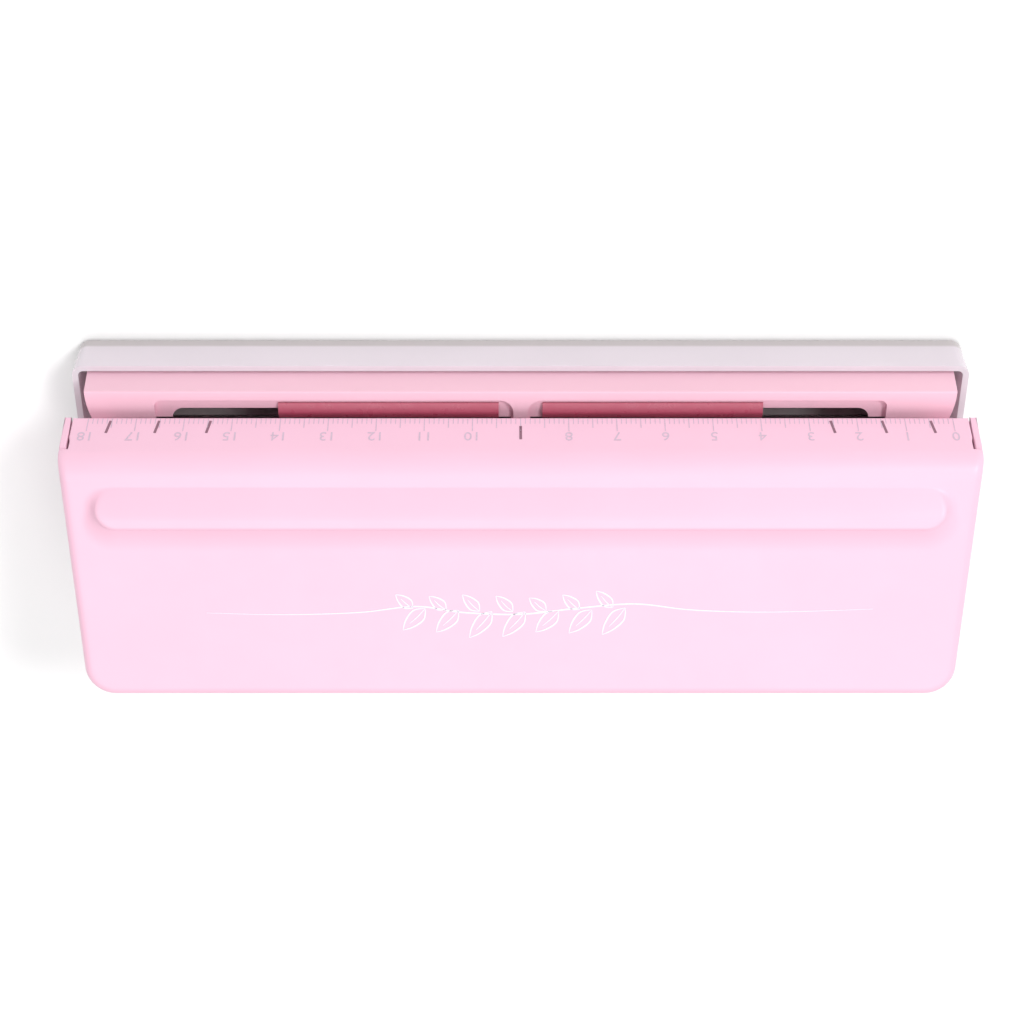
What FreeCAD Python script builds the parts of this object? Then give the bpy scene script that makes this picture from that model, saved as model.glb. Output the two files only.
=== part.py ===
import FreeCAD, Part
import math
import os

# Adjustable six-hole planner punch: a sheet-metal press lever over two sliding punch carriages,
# standing in a clear chip tray. Millimetres, +Z up, +X to the user's right, paper enters from -Y.
# Sections are drawn from the table (z = 0) and from the front ridge of the lever (y = 0).

V = FreeCAD.Vector
X_AXIS = V(1, 0, 0)
Y_AXIS = V(0, 1, 0)
Z_AXIS = V(0, 0, 1)
SIDES = (("left", -1), ("right", 1))

# ---- paper format: six holes in two groups of three
PIN_PITCH = 19.0
PIN_OFFSETS = (-PIN_PITCH, 0.0, PIN_PITCH)
POCKET_CENTRE = 1.5 * PIN_PITCH
A5_CENTRE = 54.0
PERSONAL_CENTRE = 44.4
PIN_R = 2.75
HOLE_TO_EDGE = 5.5

# ---- overall
HALF_LENGTH = 95.0
TABLE_Z = 19.3
THROAT = 3.0
WALK_GAP = 0.3
RUNNING_FIT = 0.05

# ---- chip tray and feet
FOOT_R = 4.5
FOOT_T = 0.5
TRAY_FRONT = -7.6
TRAY_REAR = 50.6
TRAY_TOP = 11.6
TRAY_WALL = 1.3
TRAY_FLOOR = 1.3
TRAY_CORNER_R = 2.4
TRAY_EDGE_R = 0.7

# ---- base housing
BASE_FRONT = -6.0
BASE_REAR = 49.0
BASE_BOTTOM = FOOT_T + TRAY_FLOOR + WALK_GAP
BASE_WALL = 1.8
LIP_TIP = 91.2
LIP_DRAFT = 0.07
LIP_END_R = 19.0
LIP_END_Y = -5.5
LIP_BACK = 5.0
CHEEK_OUT = 88.3
CHEEK_T = 2.5
CHEEK_IN = CHEEK_OUT - CHEEK_T
STEP_Y = 26.8
STEP_Z = 27.0
DECK_REAR_Z = 17.5
WEB_HALF = 1.5
SLOT_IN = 2.05
SLOT_OUT = 77.6
SLOT_FRONT = 1.0
POCKET_IN = 1.5
POCKET_OUT = 76.8
POCKET_FRONT = -3.8
POCKET_DEPTH = 1.3
WINDOW_IN = 5.0
WINDOW_FRONT = -1.2
WINDOW_OUT = 73.4
INNER_CORNER_R = 3.0
OUTER_CORNER_R = 1.5
WINDOW_INNER_R = 0.3
WINDOW_OUTER_R = 2.4
LIP_EDGE_R = 0.4
SCREW_SPOTS = ((12.0, 8.2), (22.0, 8.2))
BUMP_SPOTS = ((-62.0, 41.0), (62.0, 41.0))

# ---- steel frame
PLATE_IN = 83.4
PLATE_T = 2.0
ROD_R = 2.0
ROD_Z = 14.2
ROD_YS = (("front", 5.6), ("rear", 23.6))
ROD_HALF = 85.7
STRIP_Y = (7.2, 12.0)
STRIP_Z = (7.6, 8.8)

# ---- lever
LEVER_TILT = 12.0
RIDGE_Y = 0.53
RIDGE_Z = 36.0
SHEET = 1.4
PANEL_LENGTH = 53.9
REAR_HALF = 92.6
BAND_ANGLE = 68.0
BAND_LENGTH = 13.4
RIDGE_R = 6.0
REAR_CORNER_R = 6.2
EDGE_R = 1.2
LIP_DROP = 5.0
SEAM_IN = 93.1
RIB_START = 5.6
RIB_WIDTH = 8.3
RIB_HEIGHT = 2.9
RIB_HALF = 87.6
SEAM_START = 0.28 * BAND_LENGTH
SEAM_RELIEF = 0.5
RIVET_XS = (-72.0, -36.0, 0.0, 36.0, 72.0)
RIVET_Y = 18.9

# ---- pivot and punching geometry
PIVOT_Y = 5.2
PIVOT_Z = 27.0
PIVOT_R = 2.0
BUSH_R = 3.0
BOSS_R = 4.4
BOSS_OUT = 92.6
PIN_Y = 15.2
STOP_Y = PIN_Y + HOLE_TO_EDGE
NOSE_R = 1.5
NOSE_Z = 35.3
NOSE_GAP = 0.4
NOSE_HALF = 79.0
HEAD_TOP = NOSE_Z - NOSE_R - NOSE_GAP
HEAD_T = 1.5
HEAD_R = 4.2
PIN_TIP = TABLE_Z + THROAT + 0.6

# ---- carriage
JAW_HALF = 22.4
JAW_BOTTOM = 10.6
JAW_FRONT = 1.4
JAW_REAR = 26.2
DIE_T = 1.3
DIE_TOP = TABLE_Z - 0.1
GUIDE_BOTTOM = TABLE_Z + THROAT
GUIDE_TOP = 26.8
GUIDE_FRONT = 9.0
POST_FRONT = 22.6
SPRING_SEAT = 24.6
SPRING_BORE_R = 4.1
CHIP_R = 3.7
BAR_IN = -23.9
BAR_OUT = 22.4
NECK_OUT = 16.2
BAR_SCREW_XS = (-12.0, 12.0)
BAR_SCREW_Z = 12.2
DIE_SCREW_XS = (-0.5 * PIN_PITCH, 0.5 * PIN_PITCH)

Y_CENTRE = 0.5 * (TRAY_FRONT + RIDGE_Y + PANEL_LENGTH * math.cos(math.radians(LEVER_TILT))
                  + LIP_DROP * math.sin(math.radians(LEVER_TILT)))


def box(x0, x1, y0, y1, z0, z1):
    """Box between two corners."""
    return Part.makeBox(x1 - x0, y1 - y0, z1 - z0, V(x0, y0, z0))


def cylinder(radius, start, direction, length):
    """Cylinder from a point along a direction."""
    return Part.makeCylinder(radius, length, V(*start), direction)


def prism_x(points, x0, x1):
    """Extrude a (y, z) outline from x0 to x1."""
    ring = [V(x0, y, z) for y, z in points]
    face = Part.Face(Part.makePolygon(ring + ring[:1]))
    return face.extrude(V(x1 - x0, 0, 0))


def prism_z(points, z0, z1):
    """Extrude an (x, y) outline from z0 to z1."""
    ring = [V(x, y, z0) for x, y in points]
    face = Part.Face(Part.makePolygon(ring + ring[:1]))
    return face.extrude(V(0, 0, z1 - z0))


def fillet_where(shape, radius, test):
    """Round the edges whose centre of mass passes a test."""
    edges = [edge for edge in shape.Edges if test(edge)]
    return shape.makeFillet(radius, edges)


def is_vertical(edge):
    """True for a straight edge along Z."""
    if not isinstance(edge.Curve, Part.Line):
        return False
    return abs(edge.tangentAt(edge.FirstParameter).z) > 0.999


def rounded_block(half_x, y0, y1, z0, z1, radius):
    """Box about x = 0 with rounded vertical corners."""
    return fillet_where(box(-half_x, half_x, y0, y1, z0, z1), radius, is_vertical)


def slot_cutter(x0, x1, y0, y1, z0, z1, inner_r, outer_r):
    """Straight-sided cutter whose front corners are rounded in plan."""
    block = box(x0, x1, y0, y1, z0, z1)
    for x, radius in ((x0, inner_r), (x1, outer_r)):
        block = fillet_where(block, radius, lambda e: is_vertical(e) and e.CenterOfMass.y < y0 + 0.01
                             and abs(e.CenterOfMass.x - x) < 0.01)
    return block


def mirrored(shape, side):
    """A shape drawn for the right side, put on the side asked for."""
    if side > 0:
        return shape
    return shape.mirror(V(0, 0, 0), X_AXIS)


def fuse(shapes):
    """Union of several solids, with split faces merged."""
    return shapes[0].multiFuse(shapes[1:]).removeSplitter()


def cut(shape, tools):
    """Shape less every tool."""
    return shape.cut(Part.makeCompound(tools))


# ---------------------------------------------------------------- chip tray
def chip_tray():
    """Open clear tray with a pull tab at the back."""
    outer = rounded_block(HALF_LENGTH, TRAY_FRONT, TRAY_REAR, FOOT_T, TRAY_TOP, TRAY_CORNER_R)
    outer = fillet_where(outer, TRAY_EDGE_R, lambda e: e.CenterOfMass.z < FOOT_T + 0.01)
    inner = rounded_block(HALF_LENGTH - TRAY_WALL, TRAY_FRONT + TRAY_WALL, TRAY_REAR - TRAY_WALL,
                          FOOT_T + TRAY_FLOOR, TRAY_TOP + 1, TRAY_CORNER_R - TRAY_WALL)
    tab = box(-12, 12, TRAY_REAR - 0.5, TRAY_REAR + 2.2, TRAY_TOP - 1.8, TRAY_TOP)
    tab = fillet_where(tab, 1.6, lambda e: is_vertical(e) and e.CenterOfMass.y > TRAY_REAR)
    return fuse([outer, tab]).cut(inner)


def tray_feet():
    """Four thin pads under the tray."""
    spots = [(x, y) for x in (-80, 80) for y in (2.0, 41.0)]
    return Part.makeCompound([cylinder(FOOT_R, (x, y, 0), Z_AXIS, FOOT_T) for x, y in spots])


# ---------------------------------------------------------------- base housing
def housing_side_profile(inset):
    """Side outline of the housing, moved inward by a wall's thickness."""
    front = BASE_FRONT + inset
    rear = BASE_REAR - inset
    slope = (STEP_Z - DECK_REAR_Z) / (BASE_REAR - STEP_Y)
    step = STEP_Y + inset
    return [
        (front, BASE_BOTTOM - inset),
        (front, TABLE_Z - inset),
        (step, TABLE_Z - inset),
        (step, STEP_Z - slope * inset - inset),
        (rear, DECK_REAR_Z + slope * inset - inset),
        (rear, BASE_BOTTOM - inset),
    ]


def cheek_profile():
    """Upright at each end that carries a pivot."""
    return [(1.4, 10.0), (1.4, 29.0), (4.2, 31.6), (20.0, 30.4), (27.0, STEP_Z), (29.0, 10.0)]


def is_lip_edge(edge):
    """True for the paper table's front edge, round the lip's ends included."""
    centre = edge.CenterOfMass
    return abs(centre.z - TABLE_Z) < 0.01 and centre.y < BASE_FRONT + 0.01 and edge.Length > 2


def base_housing():
    """Moulded lower jaw: paper table with two slots, pivot cheeks and a sloping rear deck."""
    body = prism_x(housing_side_profile(0), -CHEEK_OUT, CHEEK_OUT)
    body = fillet_where(body, 4.0, lambda e: is_vertical(e) and e.CenterOfMass.y > BASE_REAR - 0.01)
    body = fillet_where(body, 2.5, lambda e: e.CenterOfMass.y > BASE_REAR - 1.5
                        and e.CenterOfMass.z > DECK_REAR_Z - 0.5)
    height = TABLE_Z - BASE_BOTTOM
    for side in (-1, 1):
        middle = V(side * (LIP_TIP - LIP_END_R), LIP_END_Y, BASE_BOTTOM)
        end = Part.makeCone(LIP_END_R + LIP_DRAFT * height, LIP_END_R, height, middle, Z_AXIS)
        inner, outer = sorted((side * CHEEK_IN, side * 100))
        end = end.common(box(inner, outer, BASE_FRONT, LIP_BACK, 0, 40))
        body = body.fuse(end)
        cheek = prism_x(cheek_profile(), side * CHEEK_IN, side * CHEEK_OUT)
        boss = cylinder(BOSS_R, (side * CHEEK_IN, PIVOT_Y, PIVOT_Z), X_AXIS * side, BOSS_OUT - CHEEK_IN)
        body = body.fuse(cheek).fuse(boss)
    cavity = prism_x(housing_side_profile(BASE_WALL), -CHEEK_IN, CHEEK_IN)
    web = prism_x(housing_side_profile(BASE_WALL - 0.1), -WEB_HALF, WEB_HALF)
    web = web.cut(box(-5, 5, -20, 60, 0, BASE_BOTTOM))
    body = body.cut(cavity).fuse(web).removeSplitter()
    body = fillet_where(body, LIP_EDGE_R, is_lip_edge)

    tools = []
    pocket_floor = TABLE_Z - POCKET_DEPTH
    for side in (-1, 1):
        pocket = slot_cutter(POCKET_IN, POCKET_OUT, POCKET_FRONT, SLOT_FRONT + 0.5,
                             pocket_floor, TABLE_Z + 1, INNER_CORNER_R, OUTER_CORNER_R)
        window = slot_cutter(WINDOW_IN, WINDOW_OUT, WINDOW_FRONT, SLOT_FRONT + 0.5,
                             TABLE_Z - 5, TABLE_Z + 1, WINDOW_INNER_R, WINDOW_OUTER_R)
        main = box(SLOT_IN, SLOT_OUT, SLOT_FRONT, STEP_Y - 0.2, TABLE_Z - 5, STEP_Z + 3)
        plate_slot = box(PLATE_IN - 0.2, CHEEK_IN, 1.2, STEP_Y - 0.2, TABLE_Z - 5, STEP_Z + 6)
        bush_hole = cylinder(BUSH_R, (80, PIVOT_Y, PIVOT_Z), X_AXIS, 20)
        tools += [mirrored(tool, side) for tool in (pocket, window, main, plate_slot, bush_hole)]
        for y, z in SCREW_SPOTS:
            tools.append(cylinder(1.25, (side * 80, y, z), X_AXIS * side, 20))
    for _, y in ROD_YS:
        tools.append(cylinder(ROD_R + 0.1, (-5, y, ROD_Z), X_AXIS, 10))
    tools.append(box(-5, 5, STRIP_Y[0] - 0.1, STRIP_Y[1] + 0.1, STRIP_Z[0] - 0.1, STRIP_Z[1] + 0.1))
    for x, y in BUMP_SPOTS:
        tools.append(cylinder(1.5, (x, y, 5), Z_AXIS, 40))
    return cut(body, tools)


def housing_screws():
    """Pan-head screws that hold the steel side plates to the housing ends."""
    screws = []
    for side in (-1, 1):
        for y, z in SCREW_SPOTS:
            shank = cylinder(1.2, (side * PLATE_IN, y, z), X_AXIS * side, CHEEK_OUT - PLATE_IN)
            head = cylinder(2.4, (side * CHEEK_OUT, y, z), X_AXIS * side, 1.5)
            head = fillet_where(head, 0.6, lambda e: abs(e.CenterOfMass.x) > CHEEK_OUT + 1.4)
            slot_a = box(-0.4, 0.4, y - 1.4, y + 1.4, z - 0.3, z + 0.3)
            slot_b = box(-0.4, 0.4, y - 0.3, y + 0.3, z - 1.4, z + 1.4)
            cross = slot_a.fuse(slot_b)
            cross.translate(V(side * (CHEEK_OUT + 1.5), 0, 0))
            screws.append(shank.fuse(head).cut(cross))
    return Part.makeCompound(screws)


def bump_stop(x, y):
    """Rubber stop on the deck that the pressed lever lands on."""
    top = Part.makeCone(3.6, 2.9, 4.5, V(x, y, 22.6), Z_AXIS)
    top = fillet_where(top, 0.6, lambda e: e.CenterOfMass.z > 27.0)
    stem = cylinder(1.5, (x, y, 19.0), Z_AXIS, 3.7)
    return top.fuse(stem)


# ---------------------------------------------------------------- steel frame
def side_plate(side):
    """Steel plate inside each cheek, holding the pivot bush and the guide rods."""
    outline = [(-2.0, 4.0), (-2.0, 16.5), (1.6, 16.5), (1.6, 28.4), (4.4, 30.9),
               (19.0, 29.4), (26.2, 24.6), (26.2, 4.0)]
    plate = prism_x(outline, PLATE_IN, PLATE_IN + PLATE_T)
    tools = [cylinder(BUSH_R, (80, PIVOT_Y, PIVOT_Z), X_AXIS, 10)]
    tools += [cylinder(ROD_R, (80, y, ROD_Z), X_AXIS, 10) for _, y in ROD_YS]
    tools += [cylinder(1.2, (80, y, z), X_AXIS, 10) for y, z in SCREW_SPOTS]
    return mirrored(cut(plate, tools), side)


def guide_rod(y):
    """Round rod that both carriages slide on."""
    rod = cylinder(ROD_R, (-ROD_HALF, y, ROD_Z), X_AXIS, 2 * ROD_HALF)
    return rod.makeChamfer(0.3, [e for e in rod.Edges if not isinstance(e.Curve, Part.Line)])


def index_strip():
    """Strip with one detent hole per side for each paper format."""
    strip = box(-PLATE_IN, PLATE_IN, STRIP_Y[0], STRIP_Y[1], STRIP_Z[0], STRIP_Z[1])
    holes = []
    for side in (-1, 1):
        for centre in (POCKET_CENTRE, PERSONAL_CENTRE, A5_CENTRE):
            holes.append(cylinder(1.1, (side * (centre + 0.5 * PIN_PITCH), 9.6, 5), Z_AXIS, 6))
    return cut(strip, holes)


def paper_stop():
    """Straight fence that the paper's edge is pushed against."""
    rail = box(-PLATE_IN, PLATE_IN, STOP_Y, STOP_Y + 1.2, TABLE_Z + 0.3, GUIDE_BOTTOM - 0.4)
    foot = box(-POCKET_IN, POCKET_IN, STOP_Y, STOP_Y + 1.2, TABLE_Z, TABLE_Z + 0.3)
    return rail.fuse(foot)


def pivot_bush(side):
    """Plain bush pressed through plate, cheek and boss."""
    bush = cylinder(BUSH_R, (PLATE_IN, PIVOT_Y, PIVOT_Z), X_AXIS, BOSS_OUT - PLATE_IN)
    bore = cylinder(PIVOT_R + RUNNING_FIT, (80, PIVOT_Y, PIVOT_Z), X_AXIS, 20)
    return mirrored(bush.cut(bore), side)


# ---------------------------------------------------------------- lever
def to_lever(shape):
    """Move a shape from the lever's own frame (panel level, ridge at origin) to its rest place."""
    placed = shape.copy()
    placed.rotate(V(0, 0, 0), X_AXIS, LEVER_TILT)
    placed.translate(V(0, RIDGE_Y, RIDGE_Z))
    return placed


def pivot_in_lever_frame():
    """The pivot's (y, z) in the lever's own frame."""
    tilt = math.radians(LEVER_TILT)
    dy = PIVOT_Y - RIDGE_Y
    dz = PIVOT_Z - RIDGE_Z
    return dy * math.cos(tilt) + dz * math.sin(tilt), dz * math.cos(tilt) - dy * math.sin(tilt)


def lever_solid(inset):
    """Filled lever form in its own frame, moved inward by the sheet's thickness."""
    angle = math.radians(BAND_ANGLE)
    along = V(0, -math.cos(angle), -math.sin(angle))
    inward = V(0, math.sin(angle), -math.cos(angle)) * inset
    bottom = along * BAND_LENGTH + inward
    # the ridge moves to where the inset band meets the inset panel
    ridge_y = bottom.y + (bottom.z + inset) * along.y / -along.z
    drop = 20.0 * (inset > 0)
    rear = PANEL_LENGTH - inset
    outline = [
        (bottom.y + along.y * drop, bottom.z + along.z * drop),
        (ridge_y, -inset),
        (rear, -inset),
        (rear, -LIP_DROP - drop),
        (26.0, -10.5 - drop),
        (8.0, -13.9 - drop),
        (-1.8, -13.9 - drop),
    ]
    form = prism_x(outline, -110, 110)
    form = fillet_where(form, RIDGE_R - inset,
                        lambda e: abs(e.CenterOfMass.y - ridge_y) + abs(e.CenterOfMass.z + inset) < 0.01)
    slope = (HALF_LENGTH - REAR_HALF) / PANEL_LENGTH
    start = -15.0
    plan = [(-HALF_LENGTH + inset, start), (HALF_LENGTH - inset, start), (HALF_LENGTH - inset, 0),
            (REAR_HALF + slope * inset - inset, rear), (-REAR_HALF - slope * inset + inset, rear),
            (-HALF_LENGTH + inset, 0)]
    walls = prism_z(plan, -50, 10)
    walls = fillet_where(walls, REAR_CORNER_R - inset,
                         lambda e: is_vertical(e) and e.CenterOfMass.y > rear - 0.01)
    form = form.common(walls).removeSplitter()

    def is_top_rim(edge):
        centre = edge.CenterOfMass
        near_rim = abs(centre.x) > REAR_HALF - 8 or centre.y > rear - 0.01
        return abs(centre.z + inset) < 0.01 and near_rim and centre.y > 8
    return fillet_where(form, max(EDGE_R - 0.6 * inset, 0.4), is_top_rim)


def rib_solid(inset):
    """Raised press rib: a long pad with round ends, higher at the back."""
    radius = 0.5 * RIB_WIDTH - inset
    half = RIB_HALF - inset
    middle = RIB_START + 0.5 * RIB_WIDTH
    pad = box(-half + radius, half - radius, middle - radius, middle + radius, -3.0, 8.0)
    for side in (-1, 1):
        pad = pad.fuse(cylinder(radius, (side * (half - radius), middle, -3.0), Z_AXIS, 11.0))
    pad = pad.removeSplitter()
    front = RIB_START - 1
    wedge = [(front, -4.0), (front, 0.7 - inset), (RIB_START + 0.7 * RIB_WIDTH, RIB_HEIGHT - inset),
             (RIB_START + RIB_WIDTH + 1, RIB_HEIGHT - inset), (RIB_START + RIB_WIDTH + 1, -4.0)]
    pad = pad.common(prism_x(wedge, -100, 100))
    return fillet_where(pad, 0.6, lambda e: e.CenterOfMass.z > 0.4 - inset and not is_vertical(e))


def lever_cover():
    """Folded sheet cover: panel with rib, ruler band in front, side flanges, rear lip."""
    cover = lever_solid(0).fuse(rib_solid(0))
    cover = cover.cut(lever_solid(SHEET)).cut(rib_solid(SHEET))
    flange_in = HALF_LENGTH - SHEET
    pivot_y, pivot_z = pivot_in_lever_frame()
    tools = []
    for side in (-1, 1):
        # the open corner seam, wider at its top end so the sheet can fold without tearing
        seam = box(SEAM_IN, flange_in, -12, -0.2, -16, -SEAM_START)
        relief = box(SEAM_IN - SEAM_RELIEF, flange_in, -12, -0.2, -SEAM_START - 1.2, -SEAM_START)
        hole = cylinder(PIVOT_R, (90, pivot_y, pivot_z), X_AXIS, 10)
        tools += [mirrored(tool, side) for tool in (seam.fuse(relief), hole)]
    return to_lever(cut(cover, tools))


def press_bar():
    """Stiff bar riveted under the panel whose round nose pushes all the punch heads."""
    tilt = math.radians(LEVER_TILT)
    dy = PIN_Y - RIDGE_Y
    dz = NOSE_Z - RIDGE_Z
    nose_y = dy * math.cos(tilt) + dz * math.sin(tilt)
    nose_z = dz * math.cos(tilt) - dy * math.sin(tilt)
    foot = [(nose_y - 1.2, nose_z), (nose_y + 0.6, -SHEET - 0.1), (21.0, -SHEET - 0.1),
            (21.0, -3.0), (nose_y + 2.4, -3.0), (nose_y + 1.2, nose_z)]
    bar = prism_x(foot, -NOSE_HALF, NOSE_HALF)
    nose = cylinder(NOSE_R, (-NOSE_HALF, nose_y, nose_z), X_AXIS, 2 * NOSE_HALF)
    return to_lever(cut(bar.fuse(nose), [cylinder(1.2, (x, RIVET_Y, -8), Z_AXIS, 8) for x in RIVET_XS]))


def press_bar_rivets():
    """Low rivets that hold the press bar to the panel."""
    rivets = []
    for x in RIVET_XS:
        stem = cylinder(1.2, (x, RIVET_Y, -3.0), Z_AXIS, 3.0 - SHEET)
        head = Part.makeCone(1.4, 2.2, 0.8, V(x, RIVET_Y, -3.8), Z_AXIS)
        rivets.append(to_lever(stem.fuse(head)))
    return Part.makeCompound(rivets)


def pivot_pin(side):
    """Pin fixed in the lever's flange, turning in the bush, with a clip groove at its inner end."""
    inner = PLATE_IN - 2.2
    pin = cylinder(PIVOT_R, (inner, PIVOT_Y, PIVOT_Z), X_AXIS, HALF_LENGTH - inner)
    pin = pin.makeChamfer(0.3, [e for e in pin.Edges if e.CenterOfMass.x < inner + 0.01])
    ring = cylinder(PIVOT_R + 1, (PLATE_IN - 1.5, PIVOT_Y, PIVOT_Z), X_AXIS, 0.8)
    core = cylinder(PIVOT_R - 0.5, (PLATE_IN - 1.5, PIVOT_Y, PIVOT_Z), X_AXIS, 0.8)
    return mirrored(pin.cut(ring.cut(core)), side)


def pivot_clip(side):
    """Open retaining ring in the pivot pin's groove."""
    start = (PLATE_IN - 1.4, PIVOT_Y, PIVOT_Z)
    ring = cylinder(PIVOT_R + 1.4, start, X_AXIS, 0.6).cut(cylinder(PIVOT_R - 0.5, start, X_AXIS, 0.6))
    mouth = box(70, 90, PIVOT_Y - 1.2, PIVOT_Y + 1.2, PIVOT_Z - 6, PIVOT_Z)
    return mirrored(ring.cut(mouth), side)


def pivot_washer(side):
    """Washer between the boss and the lever's flange."""
    start = (BOSS_OUT + 0.15, PIVOT_Y, PIVOT_Z)
    width = 0.5
    ring = cylinder(3.6, start, X_AXIS, width).cut(cylinder(PIVOT_R, start, X_AXIS, width))
    return mirrored(ring, side)


# ---------------------------------------------------------------- carriages
def carriage_frame(side):
    """Cast C-frame: lower jaw on the rods, rear post and upper jaw that guides the punches."""
    die_bottom = DIE_TOP - DIE_T
    outline = [(JAW_FRONT, JAW_BOTTOM), (JAW_FRONT, die_bottom), (POST_FRONT, die_bottom),
               (POST_FRONT, GUIDE_BOTTOM), (GUIDE_FRONT, GUIDE_BOTTOM), (GUIDE_FRONT, GUIDE_TOP),
               (JAW_REAR, GUIDE_TOP), (JAW_REAR, JAW_BOTTOM)]
    frame = prism_x(outline, -JAW_HALF, JAW_HALF)
    frame = fillet_where(frame, 1.0, lambda e: e.CenterOfMass.z > GUIDE_TOP - 0.01
                         and abs(e.CenterOfMass.x) < 1)
    tools = []
    for _, y in ROD_YS:
        tools.append(cylinder(ROD_R + RUNNING_FIT, (-30, y, ROD_Z), X_AXIS, 60))
    for x in PIN_OFFSETS:
        tools.append(cylinder(CHIP_R, (x, PIN_Y, 5), Z_AXIS, die_bottom - 5))
        tools.append(cylinder(PIN_R + RUNNING_FIT, (x, PIN_Y, 20), Z_AXIS, 12))
        tools.append(cylinder(SPRING_BORE_R, (x, PIN_Y, SPRING_SEAT), Z_AXIS, 6))
    tools.append(cylinder(1.5, (side * 0.5 * PIN_PITCH, 9.6, 5), Z_AXIS, 10.5))
    for x in BAR_SCREW_XS:
        tools.append(cylinder(0.8, (x, JAW_FRONT, BAR_SCREW_Z), Y_AXIS, 2.0))
    for x in DIE_SCREW_XS:
        tools.append(cylinder(0.9, (x, PIN_Y, die_bottom - 3), Z_AXIS, 3))
    frame = cut(frame, tools)
    frame.translate(V(side * POCKET_CENTRE, 0, 0))
    return frame


def die_plate(side):
    """Hardened plate with the three die holes."""
    bottom = DIE_TOP - DIE_T
    plate = box(-JAW_HALF, JAW_HALF, JAW_FRONT, POST_FRONT - 0.2, bottom, DIE_TOP)
    plate = plate.makeChamfer(0.35, [e for e in plate.Edges if e.CenterOfMass.y < JAW_FRONT + 0.01
                                     and e.CenterOfMass.z > DIE_TOP - 0.01])
    tools = [cylinder(PIN_R + RUNNING_FIT, (x, PIN_Y, bottom - 1), Z_AXIS, 4) for x in PIN_OFFSETS]
    for x in DIE_SCREW_XS:
        tools.append(Part.makeCone(0.9, 1.9, DIE_T, V(x, PIN_Y, bottom), Z_AXIS))
    plate = cut(plate, tools)
    plate.translate(V(side * POCKET_CENTRE, 0, 0))
    return plate


def die_screws(side):
    """Countersunk screws that hold the die plate, flush with its top."""
    bottom = DIE_TOP - DIE_T
    screws = []
    for x in DIE_SCREW_XS:
        head = Part.makeCone(0.9, 1.85, DIE_T - 0.05, V(x, PIN_Y, bottom), Z_AXIS)
        shank = cylinder(0.85, (x, PIN_Y, bottom - 2.8), Z_AXIS, 2.9)
        slot = box(x - 2, x + 2, PIN_Y - 0.2, PIN_Y + 0.2, DIE_TOP - 0.5, DIE_TOP + 1)
        screws.append(head.fuse(shank).cut(slot))
    group = Part.makeCompound(screws)
    group.translate(V(side * POCKET_CENTRE, 0, 0))
    return group


def finger_bar(side):
    """Coloured bar along the carriage's front edge, pushed with a fingertip to change format."""
    pocket_floor = TABLE_Z - POCKET_DEPTH
    shelf = pocket_floor + WALK_GAP
    rail = [(-2.75, shelf), (-2.75, shelf + 0.3), (-0.8, DIE_TOP), (-0.35, DIE_TOP),
            (0.75, shelf + 0.4), (0.75, shelf)]
    bar = prism_x(rail, BAR_IN, BAR_OUT)
    neck = box(BAR_IN + 0.8, NECK_OUT, -0.85, 0.25, 15.0, shelf)
    web = box(BAR_IN + 1.4, NECK_OUT, -0.85, JAW_FRONT, 13.9, 15.4)
    flange = box(BAR_IN + 1.4, NECK_OUT, 0.2, JAW_FRONT, JAW_BOTTOM, 14.5)
    bar = fuse([bar, neck, web, flange])
    bar = cut(bar, [cylinder(0.8, (x, -3, BAR_SCREW_Z), Y_AXIS, 6) for x in BAR_SCREW_XS])
    bar = mirrored(bar, side)
    bar.translate(V(side * POCKET_CENTRE, 0, 0))
    return bar


def bar_screws(side):
    """Two screws that hold the finger bar to the carriage."""
    screws = []
    for x in BAR_SCREW_XS:
        shank = cylinder(0.75, (x, 0.2, BAR_SCREW_Z), Y_AXIS, 2.8)
        head = cylinder(1.5, (x, -0.8, BAR_SCREW_Z), Y_AXIS, 1.0)
        slot = box(x - 2, x + 2, -1.0, -0.4, BAR_SCREW_Z - 0.2, BAR_SCREW_Z + 0.2)
        screws.append(shank.fuse(head).cut(slot))
    group = Part.makeCompound(screws)
    group.translate(V(side * POCKET_CENTRE, 0, 0))
    return group


def detent_plunger(side):
    """Sprung plunger that clicks into the index strip."""
    x = side * (POCKET_CENTRE + 0.5 * PIN_PITCH)
    barrel = cylinder(1.5, (x, 9.6, STRIP_Z[1] + 0.8), Z_AXIS, 5.6)
    tip = Part.makeCone(0.4, 1.0, 0.6, V(x, 9.6, STRIP_Z[1] + 0.25), Z_AXIS)
    return barrel.fuse(tip)


def punch_pin(side, offset):
    """Hardened punch with a flat head and a V-notched cutting end."""
    x = side * POCKET_CENTRE + offset
    shank = cylinder(PIN_R, (x, PIN_Y, PIN_TIP), Z_AXIS, HEAD_TOP - HEAD_T - PIN_TIP)
    head = cylinder(HEAD_R, (x, PIN_Y, HEAD_TOP - HEAD_T), Z_AXIS, HEAD_T)
    head = fillet_where(head, 0.5, lambda e: e.CenterOfMass.z > HEAD_TOP - 0.01)
    notch = prism_x([(PIN_Y - 3, PIN_TIP - 0.1), (PIN_Y, PIN_TIP + 1.4), (PIN_Y + 3, PIN_TIP - 0.1)],
                    x - 4, x + 4)
    return shank.fuse(head).cut(notch)


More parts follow.
